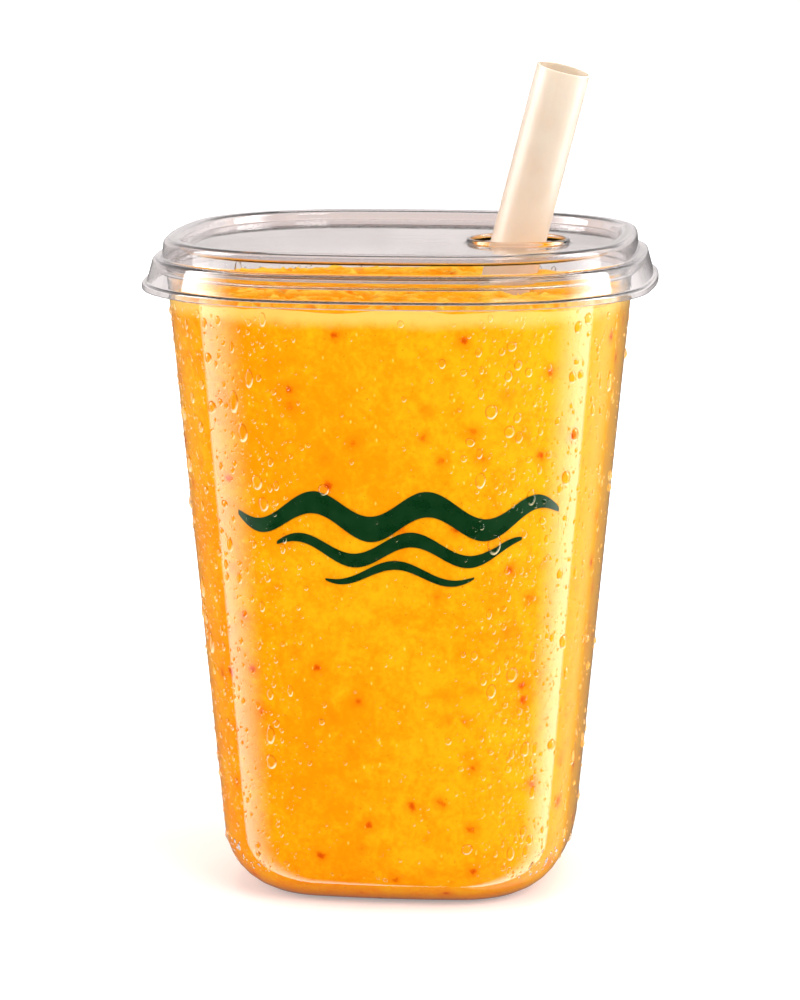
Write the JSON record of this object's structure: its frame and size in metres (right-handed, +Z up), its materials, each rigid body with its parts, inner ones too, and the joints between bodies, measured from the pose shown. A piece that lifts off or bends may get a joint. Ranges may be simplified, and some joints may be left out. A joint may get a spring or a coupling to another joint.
{
  "type": "mango smoothie in a lidded cup",
  "caption": "Thick yellow-orange fruit smoothie in a clear rounded-square plastic cup with a clear push-fit lid and a wide cream straw.",
  "frame": {"origin": "middle of the cup's footprint, on the surface it stands on", "axes": "+Z up, -Y toward the front side of the rounded-square cup, +X toward the straw"},
  "size_m": [0.104, 0.104, 0.1693],
  "materials": {
    "cup_plastic": "clear thermoformed sheet with fine drops of condensation",
    "lid_plastic": "clear thermoformed sheet",
    "straw_plastic": "satin",
    "smoothie": "wet, opaque, softly mottled"
  },
  "bodies": {
    "root": {"cup": "cup_plastic", "lid": "lid_plastic", "straw": "straw_plastic", "smoothie": "smoothie"}
  },
  "joints": []
}
